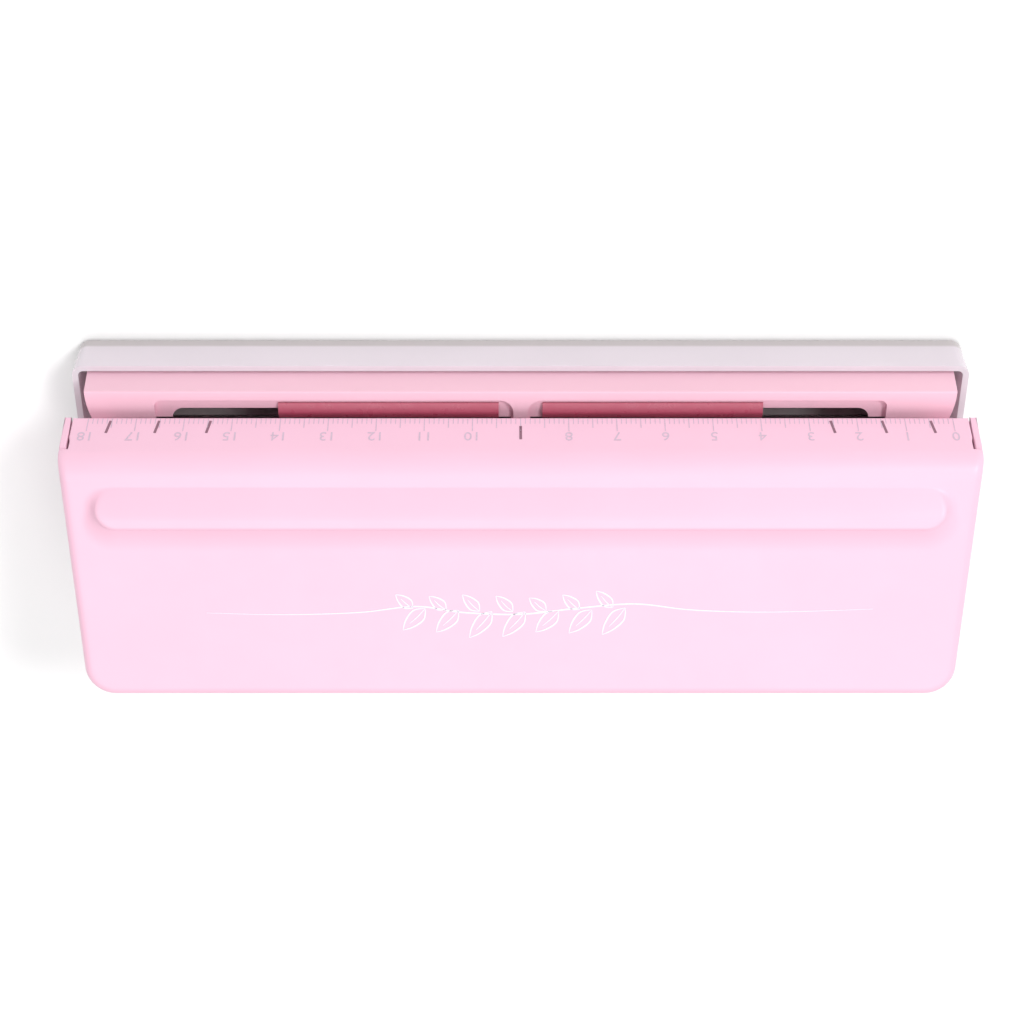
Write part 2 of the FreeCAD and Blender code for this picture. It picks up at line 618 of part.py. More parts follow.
def punch_spring(side, offset):
    """Coil spring between the upper jaw's seat and the punch head."""
    x = side * POCKET_CENTRE + offset
    wire_r = 0.25
    turns = 4.0
    height = HEAD_TOP - HEAD_T - SPRING_SEAT
    travel = height - 2 * wire_r - 0.1
    helix = Part.makeHelix(travel / turns, travel, 3.45)
    profile = Part.Wire([Part.makeCircle(wire_r, V(3.45, 0, 0), Y_AXIS)])
    coil = Part.Wire(helix.Edges).makePipeShell([profile], True, True)
    coil.translate(V(x, PIN_Y, SPRING_SEAT + wire_r + 0.05))
    return coil


# ---------------------------------------------------------------- all nodes
def make_nodes():
    """Every sub-part by node name."""
    nodes = {
        "chip_tray": chip_tray(),
        "tray_feet": tray_feet(),
        "base_housing": base_housing(),
        "housing_screws": housing_screws(),
        "index_strip": index_strip(),
        "paper_stop": paper_stop(),
        "lever_cover": lever_cover(),
        "press_bar": press_bar(),
        "press_bar_rivets": press_bar_rivets(),
    }
    for place, y in ROD_YS:
        nodes[place + "_guide_rod"] = guide_rod(y)
    for (name, side), (x, y) in zip(SIDES, BUMP_SPOTS):
        nodes["bump_stop_" + name] = bump_stop(x, y)
        nodes["side_plate_" + name] = side_plate(side)
        nodes["pivot_bush_" + name] = pivot_bush(side)
        nodes["pivot_pin_" + name] = pivot_pin(side)
        nodes["pivot_clip_" + name] = pivot_clip(side)
        nodes["pivot_washer_" + name] = pivot_washer(side)
        nodes["carriage_frame_" + name] = carriage_frame(side)
        nodes["die_plate_" + name] = die_plate(side)
        nodes["die_screws_" + name] = die_screws(side)
        nodes["finger_bar_" + name] = finger_bar(side)
        nodes["bar_screws_" + name] = bar_screws(side)
        nodes["detent_plunger_" + name] = detent_plunger(side)
        for number, offset in enumerate(PIN_OFFSETS, start=1):
            nodes["punch_%s_%d" % (name, number)] = punch_pin(side, offset)
            nodes["punch_spring_%s_%d" % (name, number)] = punch_spring(side, offset)
    return nodes


os.makedirs("parts", exist_ok=True)
for node_name, node_shape in make_nodes().items():
    node_shape.translate(V(0, -Y_CENTRE, 0))
    if not node_shape.isValid() or node_shape.Volume <= 0:
        print("check", node_name, node_shape.isValid(), node_shape.Volume)
    node_shape.exportStep("parts/" + node_name + ".step")
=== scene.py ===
import math

import bpy
from mathutils import Matrix, Vector


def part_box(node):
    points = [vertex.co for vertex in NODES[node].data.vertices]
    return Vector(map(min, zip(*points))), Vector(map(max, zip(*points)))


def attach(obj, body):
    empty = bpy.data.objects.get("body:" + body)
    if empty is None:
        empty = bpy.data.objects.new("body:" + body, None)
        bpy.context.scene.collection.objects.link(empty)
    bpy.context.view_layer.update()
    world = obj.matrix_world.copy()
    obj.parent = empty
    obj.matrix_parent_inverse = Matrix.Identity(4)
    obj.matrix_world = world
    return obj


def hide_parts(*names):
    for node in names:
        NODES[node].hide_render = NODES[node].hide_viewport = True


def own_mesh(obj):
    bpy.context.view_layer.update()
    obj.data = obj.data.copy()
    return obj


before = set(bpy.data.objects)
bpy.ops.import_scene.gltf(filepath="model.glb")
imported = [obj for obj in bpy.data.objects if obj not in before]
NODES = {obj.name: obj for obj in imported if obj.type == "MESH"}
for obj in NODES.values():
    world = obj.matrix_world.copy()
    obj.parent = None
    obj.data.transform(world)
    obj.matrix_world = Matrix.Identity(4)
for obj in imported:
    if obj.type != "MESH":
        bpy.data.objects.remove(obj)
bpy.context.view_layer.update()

# Adjustable six-hole planner punch. Lengths are millimetres in the lists below and become metres
# when a mesh is made. Section numbers count y from the lever's front ridge, as the CAD source does.
MM = 0.001
TRAY_FRONT = -7.6
Y_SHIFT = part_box("chip_tray")[0].y / MM - TRAY_FRONT

# ---- lever sheet, in its own frame: x, s along the panel from the ridge, n out of the panel
TILT = math.radians(12.0)
RIDGE_Y = 0.53
RIDGE_Z = 36.0
SHEET = 1.4
PANEL = 53.9
HALF = 95.0
REAR_HALF = 92.6
TAPER = (HALF - REAR_HALF) / PANEL
BAND_ANGLE = math.radians(68.0)
BAND = 13.4
RIDGE_R = 6.0
BEND_R = 1.9
CORNER_R = 6.2
LIP_DROP = 5.0
RIM_R = 0.3
SEAM_EDGE = 93.35
SEAM_EDGE_WIDE = 93.1
SEAM_WIDE_UNTIL = 6.6
BAND_ROWS = 8
RIDGE_ROWS = 14
CORNER_ROWS = 8
NOSE_SHARE = 0.35
TANGENT = RIDGE_R * math.tan(0.5 * BAND_ANGLE)
FLANGE_BOTTOM = ((PANEL, -LIP_DROP), (26.0, -10.5), (8.0, -13.9), (-1.8, -13.9))

# ---- press rib, a height over the panel
RIB_START = 5.6
RIB_R = 4.3
RIB_HALF = 87.6
RIB_TOP = 12.0
RIB_MIDDLE = RIB_START + RIB_R
RIB_ROUND = 1.2
RIB_STEEP = math.radians(78.0)
RIB_FOOT_R = 0.6
RIB_FOOT_SLOPE = math.radians(38.0)
RIB_TAIL_R = 9.5

# ---- printing
PRINT_LIFT = 0.02
PRINT_T = 0.03


# ---------------------------------------------------------------- mesh helpers
def lever_point(x, s, n):
    """A point of the lever's own frame, in the row frame in metres."""
    y = RIDGE_Y + s * math.cos(TILT) - n * math.sin(TILT)
    z = RIDGE_Z + s * math.sin(TILT) + n * math.cos(TILT)
    return Vector((x, y + Y_SHIFT, z)) * MM


def band_point(x, up, out):
    """A point on the ruler band: up from its lower edge, out from its face."""
    along = BAND - up
    s = -along * math.cos(BAND_ANGLE) - out * math.sin(BAND_ANGLE)
    n = -along * math.sin(BAND_ANGLE) + out * math.cos(BAND_ANGLE)
    return lever_point(x, s, n)


def make_object(name, verts, faces, smooth=True):
    """Mesh object at the origin from points in metres."""
    mesh = bpy.data.meshes.new(name)
    mesh.from_pydata([tuple(v) for v in verts], [], faces)
    mesh.validate()
    for polygon in mesh.polygons:
        polygon.use_smooth = smooth
    obj = bpy.data.objects.new(name, mesh)
    bpy.context.scene.collection.objects.link(obj)
    return obj


def weight_normals(obj):
    """Let the large faces decide the shading, so small roundings stay crisp."""
    modifier = obj.modifiers.new("weighted", "WEIGHTED_NORMAL")
    modifier.weight = 80
    modifier.keep_sharp = True


def vertex_normals(verts, faces):
    """Area-weighted normal of each vertex."""
    normals = [Vector() for _ in verts]
    for face in faces:
        points = [verts[i] for i in face]
        normal = (points[2] - points[0]).cross(points[-1] - points[1])
        for i in face:
            normals[i] += normal
    return [normal.normalized() for normal in normals]


def thicken(verts, faces, thickness, rim_r, steps=3):
    """Turn an open surface into sheet: offset inward, with rounded rims along every open edge."""
    normals = vertex_normals(verts, faces)
    used = {}
    for face in faces:
        for a, b in zip(face, face[1:] + face[:1]):
            used[(a, b)] = used.get((a, b), 0) + 1
    rims = [edge for edge in used if (edge[1], edge[0]) not in used]
    outward = {}
    for a, b in rims:
        along = (verts[b] - verts[a]).normalized()
        for i in (a, b):
            outward[i] = outward.get(i, Vector()) + along.cross(normals[i])
    points = list(verts)
    rings = {}
    for i, away in outward.items():
        away = away.normalized()
        near = verts[i] - away * rim_r - normals[i] * rim_r
        far = verts[i] - away * rim_r - normals[i] * (thickness - rim_r)
        ring = [i]
        for k in range(2 * steps + 1):
            turn = math.radians(90.0) * (k + 1) / steps
            if k < steps:
                place = near + (normals[i] * math.cos(turn) + away * math.sin(turn)) * rim_r
            else:
                turn -= math.radians(90.0) * (1 + 1 / steps)
                place = far + (away * math.cos(turn) - normals[i] * math.sin(turn)) * rim_r
            ring.append(len(points))
            points.append(place)
        points[i] = verts[i] - away * rim_r
        rings[i] = ring
    inner_index = {}
    for i in range(len(verts)):
        if i in rings:
            inner_index[i] = rings[i][-1]
        else:
            inner_index[i] = len(points)
            points.append(verts[i] - normals[i] * thickness)
    skin = [tuple(face) for face in faces]
    skin += [tuple(inner_index[i] for i in reversed(face)) for face in faces]
    for a, b in rims:
        for p, q, r, s in zip(rings[b], rings[a], rings[a][1:], rings[b][1:]):
            skin.append((p, q, r, s))
    return points, skin


def steps_between(start, end, count):
    """Evenly spaced numbers from start up to but not including end."""
    return [start + (end - start) * k / count for k in range(count)]


def ribbon(place, points, widths, verts, faces):
    """Add a thin raised strip along 2-D points, whose width changes along it."""
    first = len(verts)
    count = len(points)
    for k, ((x, u), width) in enumerate(zip(points, widths)):
        ahead = points[min(k + 1, count - 1)]
        behind = points[max(k - 1, 0)]
        along = Vector((ahead[0] - behind[0], ahead[1] - behind[1])).normalized()
        side = Vector((-along.y, along.x)) * 0.5 * width
        for sign, lift in ((1, 0), (-1, 0), (-1, PRINT_T), (1, PRINT_T)):
            verts.append(place(x + sign * side.x, u + sign * side.y, PRINT_LIFT + lift))
    for k in range(count - 1):
        a = first + 4 * k
        b = a + 4
        for i in range(4):
            j = (i + 1) % 4
            faces.append((a + i, a + j, b + j, b + i))
    faces.append((first, first + 3, first + 2, first + 1))
    last = first + 4 * (count - 1)
    faces.append((last, last + 1, last + 2, last + 3))


# ---------------------------------------------------------------- material helpers
def set_inputs(node, values):
    """Set a node's sockets by name."""
    for name, value in values.items():
        node.inputs[name].default_value = value


class Surface:
    """A procedural material: a Principled shader with noise on its colour, gloss and relief."""

    def __init__(self, name, **constants):
        self.material = bpy.data.materials.new(name)
        self.material.use_nodes = True
        self.tree = self.material.node_tree
        self.shader = self.tree.nodes["Principled BSDF"]
        set_inputs(self.shader, constants)
        self.coords = self.tree.nodes.new("ShaderNodeTexCoord").outputs["Object"]

    def noise(self, scale, detail=2.0, stretch=(1, 1, 1)):
        """Noise in object space; scale counts cells per metre."""
        mapping = self.tree.nodes.new("ShaderNodeMapping")
        mapping.inputs["Scale"].default_value = stretch
        self.tree.links.new(self.coords, mapping.inputs["Vector"])
        noise = self.tree.nodes.new("ShaderNodeTexNoise")
        set_inputs(noise, {"Scale": scale, "Detail": detail})
        self.tree.links.new(mapping.outputs["Vector"], noise.inputs["Vector"])
        return noise.outputs["Fac"]

    def ramp(self, value, low, high, start=0.3, end=0.7):
        """Map a noise value onto a range of numbers."""
        node = self.tree.nodes.new("ShaderNodeMapRange")
        set_inputs(node, {"From Min": start, "From Max": end, "To Min": low, "To Max": high})
        self.tree.links.new(value, node.inputs["Value"])
        return node.outputs["Result"]

    def mix(self, value, first, second):
        """Blend two colours by a value."""
        node = self.tree.nodes.new("ShaderNodeMix")
        node.data_type = "RGBA"
        for socket, colour in ((node.inputs[6], first), (node.inputs[7], second)):
            if isinstance(colour, tuple):
                socket.default_value = (*colour, 1.0)
            else:
                self.tree.links.new(colour, socket)
        self.tree.links.new(value, node.inputs["Factor"])
        return node.outputs[2]

    def colour(self, output):
        self.tree.links.new(output, self.shader.inputs["Base Color"])

    def roughness(self, output):
        self.tree.links.new(output, self.shader.inputs["Roughness"])

    def relief(self, *layers):
        """Stack bumps: each layer is (height output, strength, distance in metres)."""
        normal = None
        for height, strength, distance in layers:
            bump = self.tree.nodes.new("ShaderNodeBump")
            set_inputs(bump, {"Strength": strength, "Distance": distance})
            self.tree.links.new(height, bump.inputs["Height"])
            if normal is not None:
                self.tree.links.new(normal, bump.inputs["Normal"])
            normal = bump.outputs["Normal"]
        self.tree.links.new(normal, self.shader.inputs["Normal"])


def shade(colour, factor):
    """A colour made lighter or darker."""
    return tuple(min(1.0, channel * factor) for channel in colour)


def powder_coat(name, colour):
    """Satin powder coat on steel: faint orange peel and slow changes of tone."""
    paint = Surface(name, **{"Specular IOR Level": 0.35, "Coat Weight": 0.2, "Coat Roughness": 0.3,
                             "Sheen Weight": 0.15, "Sheen Roughness": 0.4})
    paint.colour(paint.mix(paint.ramp(paint.noise(38.0, 3.0), 0, 1), shade(colour, 0.985),
                           shade(colour, 1.012)))
    paint.roughness(paint.ramp(paint.noise(220.0, 2.0), 0.42, 0.50))
    paint.relief((paint.noise(1400.0, 2.0), 0.10, 0.00006), (paint.noise(260.0, 1.0), 0.06, 0.00012))
    return paint.material


def moulded(name, colour, low=0.36, high=0.46, grain=0.12, **constants):
    """Injection-moulded plastic: fine spark-eroded grain with faint flow lines."""
    plastic = Surface(name, **{"Specular IOR Level": 0.45, **constants})
    flow = plastic.noise(60.0, 3.0, (0.25, 1.0, 1.0))
    plastic.colour(plastic.mix(plastic.ramp(flow, 0, 1), shade(colour, 0.97), shade(colour, 1.02)))
    plastic.roughness(plastic.ramp(plastic.noise(500.0, 2.0), low, high))
    plastic.relief((plastic.noise(3200.0, 2.0), grain, 0.00005))
    return plastic.material


def clear_plastic(name):
    """Milky clear polystyrene, faintly lavender from a painted tint for the pink base seen through the
    wall, with painted shade darkening the bottom strip where the floor's thick edge shows.
    """
    clear = Surface(name, **{"Transmission Weight": 0.3, "IOR": 1.5, "Specular IOR Level": 0.5})
    # milky white plastic with a painted lavender tint that stands in for the pink base seen through the
    # wall
    wall = clear.mix(clear.ramp(clear.noise(30.0, 3.0), 0, 1), (0.93, 0.85, 0.915), (0.96, 0.88, 0.945))
    split = clear.tree.nodes.new("ShaderNodeSeparateXYZ")
    clear.tree.links.new(clear.coords, split.inputs["Vector"])
    # painted shade: below 3.8 mm the colour darkens to grey along the tray's bottom strip
    height = clear.ramp(split.outputs["Z"], 0, 1, 0.0030, 0.0038)
    clear.colour(clear.mix(height, (0.72, 0.66, 0.67), wall))
    scuffs = clear.noise(900.0, 4.0, (0.12, 1.0, 1.0))
    clear.roughness(clear.ramp(scuffs, 0.10, 0.22, 0.35, 0.75))
    clear.relief((clear.noise(120.0, 2.0), 0.05, 0.0002))
    return clear.material


def metal(name, colour, low, high, lines=(1, 1, 1), line_scale=900.0, strength=0.08):
    """Metal with machining or plating marks that run along the short stretch."""
    steel = Surface(name, **{"Metallic": 1.0})
    marks = steel.noise(line_scale, 3.0, lines)
    tone = steel.noise(70.0, 2.0)
    steel.colour(steel.mix(steel.ramp(tone, 0, 1), shade(colour, 0.90), shade(colour, 1.06)))
    steel.roughness(steel.ramp(marks, low, high))
    steel.relief((marks, strength, 0.00004))
    return steel.material


def rubber(name, colour):
    """Matt rubber with a dusty grain."""
    soft = Surface(name, **{"Specular IOR Level": 0.25, "Sheen Weight": 0.15, "Sheen Roughness": 0.6})
    soft.colour(soft.mix(soft.ramp(soft.noise(400.0, 4.0), 0, 1), shade(colour, 0.8), shade(colour, 1.25)))
    soft.roughness(soft.ramp(soft.noise(900.0, 2.0), 0.75, 0.92))
    soft.relief((soft.noise(2600.0, 3.0), 0.25, 0.00006))
    return soft.material


def ink(name, colour):
    """Screen-printed ink, slightly uneven in cover."""
    layer = Surface(name, **{"Specular IOR Level": 0.3})
    layer.colour(layer.mix(layer.ramp(layer.noise(1800.0, 3.0), 0, 1), shade(colour, 0.94),
                           shade(colour, 1.05)))
    layer.roughness(layer.ramp(layer.noise(600.0, 2.0), 0.45, 0.6))
    layer.relief((layer.noise(2500.0, 2.0), 0.1, 0.00003))
    return layer.material


PINK = (0.90, 0.55, 0.69)
MATERIALS = {
    "pink_paint": powder_coat("pink_paint", PINK),
    "pink_plastic": moulded("pink_plastic", (0.88, 0.53, 0.64)),
    "rose_plastic": moulded("rose_plastic", (0.52, 0.09, 0.155), 0.25, 0.36, 0.08),
    "clear_plastic": clear_plastic("clear_plastic"),
    "foot_rubber": rubber("foot_rubber", (0.62, 0.60, 0.61)),
    "bump_rubber": rubber("bump_rubber", (0.045, 0.043, 0.045)),
    "bare_steel": metal("bare_steel", (0.56, 0.56, 0.57), 0.28, 0.42, (0.04, 1, 1)),
    "polished_steel": metal("polished_steel", (0.72, 0.72, 0.73), 0.12, 0.22, (1, 1, 0.06)),
    "zinc_steel": metal("zinc_steel", (0.66, 0.68, 0.72), 0.25, 0.42, (1, 1, 1), 260.0, 0.05),
    "spring_steel": metal("spring_steel", (0.50, 0.50, 0.52), 0.22, 0.34, (1, 1, 1), 1500.0, 0.05),
    "cast_zinc": metal("cast_zinc", (0.58, 0.58, 0.59), 0.42, 0.58, (1, 1, 1), 1100.0, 0.22),
    "bush_brass": metal("bush_brass", (0.80, 0.60, 0.28), 0.22, 0.36, (1, 1, 1), 700.0, 0.06),
    "bush_nylon": moulded("bush_nylon", (0.86, 0.85, 0.80), 0.4, 0.5, 0.08),
    "ruler_ink": ink("ruler_ink", (0.66, 0.50, 0.61)),
    "mark_ink": ink("mark_ink", (0.28, 0.14, 0.19)),
    "white_ink": ink("white_ink", (0.88, 0.86, 0.94)),
}


# ---------------------------------------------------------------- CAD nodes that stay as they are
NODE_MATERIALS = {
    "chip_tray": "clear_plastic",
    "tray_feet": "foot_rubber",
    "base_housing": "pink_plastic",
    "housing_screws": "zinc_steel",
    "index_strip": "bare_steel",
    "paper_stop": "bare_steel",
    "press_bar": "bare_steel",
    "press_bar_rivets": "zinc_steel",
    "front_guide_rod": "polished_steel",
    "rear_guide_rod": "polished_steel",
    "bump_stop": "bump_rubber",
    "side_plate": "bare_steel",
    "pivot_bush": "bush_brass",
    "pivot_pin": "polished_steel",
    "pivot_clip": "spring_steel",
    "pivot_washer": "bush_nylon",
    "carriage_frame": "cast_zinc",
    "die_plate": "bare_steel",
    "die_screws": "zinc_steel",
    "finger_bar": "rose_plastic",
    "bar_screws": "zinc_steel",
    "detent_plunger": "bush_brass",
    "punch_spring": "spring_steel",
    "punch": "polished_steel",
    "lever_cover": "pink_paint",
}


def material_for(node):
    """The material of the longest name in the list that the node's name starts with."""
    found = [key for key in NODE_MATERIALS if node.startswith(key)]
    return MATERIALS[NODE_MATERIALS[max(found, key=len)]]


for node_name, node in NODES.items():
    for slot in node.material_slots:
        slot.material = material_for(node_name)


# ---------------------------------------------------------------- lever sheet
def smooth(value):
    """Smooth step from 0 to 1."""
    value = min(1.0, max(0.0, value))
    return value * value * (3 - 2 * value)


def rib_side(d, tail):
    """Height share of the rib at a distance d outside its outline; tail stretches its soft foot."""
    round_drop = RIB_ROUND * (1 - math.cos(RIB_STEEP))
    foot_drop = RIB_FOOT_R * (math.cos(RIB_FOOT_SLOPE) - math.cos(RIB_STEEP))
    tail_drop = RIB_TAIL_R * (1 - math.cos(RIB_FOOT_SLOPE))
    height = round_drop + foot_drop + tail_drop
    start = -RIB_ROUND * math.sin(RIB_STEEP)
    foot_end = RIB_FOOT_R * (math.sin(RIB_STEEP) - math.sin(RIB_FOOT_SLOPE))
    tail_end = RIB_TAIL_R * math.sin(RIB_FOOT_SLOPE)
    if d <= start:
        return 1.0
    if d <= 0:
        run = d - start
        return 1 - (RIB_ROUND - math.sqrt(RIB_ROUND ** 2 - run ** 2)) / height
    if d <= foot_end:
        run = RIB_FOOT_R * math.sin(RIB_STEEP) - d
        level = tail_drop + RIB_FOOT_R * math.cos(RIB_FOOT_SLOPE) - math.sqrt(RIB_FOOT_R ** 2 - run ** 2)
        return level / height
    run = tail_end - (d - foot_end) / tail
    if run <= 0:
        return 0.0
    return (RIB_TAIL_R - math.sqrt(RIB_TAIL_R ** 2 - run ** 2)) / height


def rib_height(x, s):
    """Height of the pressed rib above the panel."""
    if s <= RIB_START:
        return 0.0
    top = RIB_ROUND * (1 - math.cos(RIB_STEEP)) + RIB_TAIL_R * (1 - math.cos(RIB_FOOT_SLOPE))
    top += RIB_FOOT_R * (math.cos(RIB_FOOT_SLOPE) - math.cos(RIB_STEEP))
    climb = (s - RIB_START) / (RIB_TOP - RIB_START)
    ramp = climb - 0.12 * climb ** 6 if climb < 1 else 1 - 0.12 + 0.12 * smooth((climb - 1) / 0.6)
    over = max(0.0, abs(x) - (RIB_HALF - RIB_R))
    ahead = s - RIB_MIDDLE
    d = math.hypot(over, ahead) - RIB_R
    tail = 1.0
    if over > 0:
        tail = 0.35 + 0.65 * smooth(max(0.0, ahead) / (math.hypot(over, ahead) + 1e-9))
    side = rib_side(d, tail)
    if ahead < 0:
        side = 1 + (side - 1) * smooth(over / 2.0)
    return top * ramp * side


def outer_half(s):
    """Half-width of the lever at s along the panel."""
    return HALF - TAPER * max(0.0, s)


def shell_rows():
    """Rows of the sheet from the band's lower edge to the rear: s, n, direction, half-width."""
    rows = []
    for k in range(BAND_ROWS + 1):
        along = BAND + (TANGENT - BAND) * k / BAND_ROWS
        half = SEAM_EDGE if along > SEAM_WIDE_UNTIL else SEAM_EDGE_WIDE
        rows.append((-along * math.cos(BAND_ANGLE), -along * math.sin(BAND_ANGLE), BAND_ANGLE, half))
    for k in range(1, RIDGE_ROWS + 1):
        angle = BAND_ANGLE * (1 - k / RIDGE_ROWS)
        s = TANGENT - RIDGE_R * math.sin(angle)
        rows.append((s, RIDGE_R * (math.cos(angle) - 1), angle, HALF - BEND_R))
    flat = steps_between(4.6, 5.4, 2) + steps_between(5.4, 6.0, 4) + steps_between(6.0, 10.5, 16)
    flat += steps_between(10.5, 13.4, 22) + steps_between(13.4, 15.2, 22) + steps_between(15.2, 21.6, 22)
    corner = CORNER_R - BEND_R
    last = PANEL - BEND_R
    flat += steps_between(21.6, last - corner, 12)
    for s in flat:
        rows.append((s, 0.0, 0.0, outer_half(s) - BEND_R))
    for k in range(CORNER_ROWS + 1):
        turn = math.radians(90.0) * k / CORNER_ROWS
        s = last - corner + corner * math.sin(turn)
        rows.append((s, 0.0, 0.0, outer_half(s) - BEND_R - corner * (1 - math.cos(turn))))
    return rows


def shell_columns():
    """Where the columns cross the sheet, as shares of its half-width."""
    right = steps_between(0, 78, 20) + steps_between(78, 82.8, 12) + steps_between(82.8, 89.0, 52)
    right += steps_between(89.0, 93.1, 6) + [93.1]
    shares = [x / 93.1 for x in right]
    return [-share for share in reversed(shares[1:])] + shares


def bottom_of_flange(s):
    """Depth of the side flange under the panel at s."""
    points = FLANGE_BOTTOM
    for (s1, n1), (s0, n0) in zip(points, points[1:]):
        if s0 <= s <= s1:
            return n0 + (n1 - n0) * (s - s0) / (s1 - s0)
    return points[0][1]


def lever_shell():
    """The folded cover as one sheet: band, ridge, panel with rib, side flanges and rear lip."""
    rows = shell_rows()
    columns = shell_columns()
    verts = []
    faces = []
    width = len(columns)
    for s, n, angle, half in rows:
        for share in columns:
            x = share * half
            lift = rib_height(x, s) if angle == 0 else 0.0
            verts.append(Vector((x, s, n + lift)))
    for r in range(len(rows) - 1):
        for c in range(width - 1):
            a = r * width + c
            faces.append((a, a + 1, a + width + 1, a + width))

    bend_steps = 6
    depth_steps = 5
    corner = CORNER_R - BEND_R
    last_s = PANEL - BEND_R
    (nose_end, nose_n), (nose_start, _) = FLANGE_BOTTOM[-2:]
    first_free = next(i for i, row in enumerate(rows) if row[0] >= nose_end)

    def flange_foot(row_index, s):
        """Where the flange column that starts at a row ends on the flange's lower edge."""
        if s >= nose_end:
            return s, bottom_of_flange(s)
        share = row_index / first_free
        tip_s = -BAND * math.cos(BAND_ANGLE)
        tip_n = -BAND * math.sin(BAND_ANGLE)
        if share < NOSE_SHARE:
            t = share / NOSE_SHARE
            return tip_s + (nose_start - tip_s) * t, tip_n + (nose_n - tip_n) * t
        return nose_start + (nose_end - nose_start) * (share - NOSE_SHARE) / (1 - NOSE_SHARE), nose_n

    def side_columns(side):
        """Flange columns of one side, front to rear, each a list of vertex indices from the panel."""
        edge = width - 1 if side > 0 else 0
        made = []
        for r, (s, n, angle, half) in enumerate(rows):
            if s > last_s - corner + 1e-6:
                break
            inward = Vector((0, math.sin(angle), -math.cos(angle)))
            start = Vector((side * (outer_half(s) - BEND_R), s, n))
            outer = outer_half(s)
            column = []
            if r >= BAND_ROWS:
                column.append(r * width + edge)
                if angle > 0:
                    depth = 0.5 + (BEND_R - 0.5) * smooth(1 - angle / BAND_ANGLE)
                else:
                    depth = BEND_R
                for k in range(1, bend_steps + 1):
                    turn = math.radians(90.0) * k / bend_steps
                    place = start + Vector((side * BEND_R * math.sin(turn), 0, 0))
                    column.append(len(verts))
                    verts.append(place + inward * depth * (1 - math.cos(turn)))
                top = verts[-1].copy()
            else:
                top = Vector((side * outer, s, n))
                column += [None] * bend_steps
                column.append(len(verts))
                verts.append(top.copy())
            foot_s, foot_n = flange_foot(r, s)
            foot = Vector((side * outer_half(foot_s), foot_s, foot_n))
            for k in range(1, depth_steps + 1):
                column.append(len(verts))
                verts.append(top.lerp(foot, k / depth_steps))
            made.append(column)
        return made

    def rear_columns():
        """Columns round the rear corners and along the rear, left to right."""
        made = []
        total = len(rows)
        corner_rows = [r for r in range(total) if rows[r][0] > last_s - corner + 1e-6]
        spots = [(r, 0) for r in corner_rows[:-1]]
        spots += [(total - 1, c) for c in range(width)]
        spots += [(r, width - 1) for r in reversed(corner_rows[:-1])]
        for r, c in spots:
            index = r * width + c
            place = verts[index]
            centre_x = outer_half(last_s - corner) - BEND_R - corner
            if abs(place.x) > centre_x:
                out = Vector((place.x - math.copysign(centre_x, place.x), place.y - (last_s - corner), 0))
                out.normalize()
            else:
                out = Vector((0, 1, 0))
            column = [index]
            for k in range(1, bend_steps + 1):
                turn = math.radians(90.0) * k / bend_steps
                drop = Vector((0, 0, BEND_R * (1 - math.cos(turn))))
                column.append(len(verts))
                verts.append(place + out * BEND_R * math.sin(turn) - drop)
            top = verts[-1].copy()
            foot = Vector((top.x, top.y, min(-LIP_DROP, bottom_of_flange(min(top.y, PANEL)))))
            for k in range(1, depth_steps + 1):
                column.append(len(verts))
                verts.append(top.lerp(foot, k / depth_steps))
            made.append(column)
        return made

    left = side_columns(-1)
    right = side_columns(1)
    loop = left + rear_columns() + right[::-1]
    for first, second in zip(loop, loop[1:]):
        for k in range(len(first) - 1):
            quad = (first[k], second[k], second[k + 1], first[k + 1])
            if None in quad:
                continue
            faces.append(quad)

    points, skin = thicken(verts, faces, SHEET, RIM_R)
    obj = make_object("lever_shell", [lever_point(*p) for p in points], skin)
    weight_normals(obj)
    return obj


def finish_piece(obj, material, body):
    """Give a piece its material and body."""
    obj.data.materials.clear()
    obj.data.materials.append(MATERIALS[material])
    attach(obj, body)
    return obj


shell = finish_piece(lever_shell(), "pink_paint", "lever")
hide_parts("lever_cover")


# ---------------------------------------------------------------- printed ruler
RULER_ZERO = -90.0
RULER_CM = 18
SIZE_MARKS = (64.5, 75.2, 85.3)
SIZE_MARK_LEAN = 0.6
SIZE_MARK_WIDTH = 0.55


def ruler_ticks():
    """Millimetre, five-millimetre and centimetre strokes up from the band's lower edge."""
    verts = []
    faces = []
    for mm in range(10 * RULER_CM + 1):
        reach = 1.9
        width = 0.16
        if mm % 5 == 0:
            reach = 3.1
            width = 0.2
        if mm % 10 == 0:
            reach = 4.1
        x = RULER_ZERO + mm
        ribbon(band_point, [(x, 0.35), (x, reach)], [width, width], verts, faces)
    return make_object("ruler_ticks", verts, faces, False)


def size_marks():
    """Bold strokes for the paper sizes and the centre."""
    verts = []
    faces = []
    for side in (-1, 1):
        for x in SIZE_MARKS:
            stroke = [(side * x, 1.0), (side * (x + SIZE_MARK_LEAN), 4.7)]
            ribbon(band_point, stroke, [SIZE_MARK_WIDTH] * 2, verts, faces)
    ribbon(band_point, [(0, 2.6), (0, 6.6)], [SIZE_MARK_WIDTH] * 2, verts, faces)
    return make_object("size_marks", verts, faces, False)


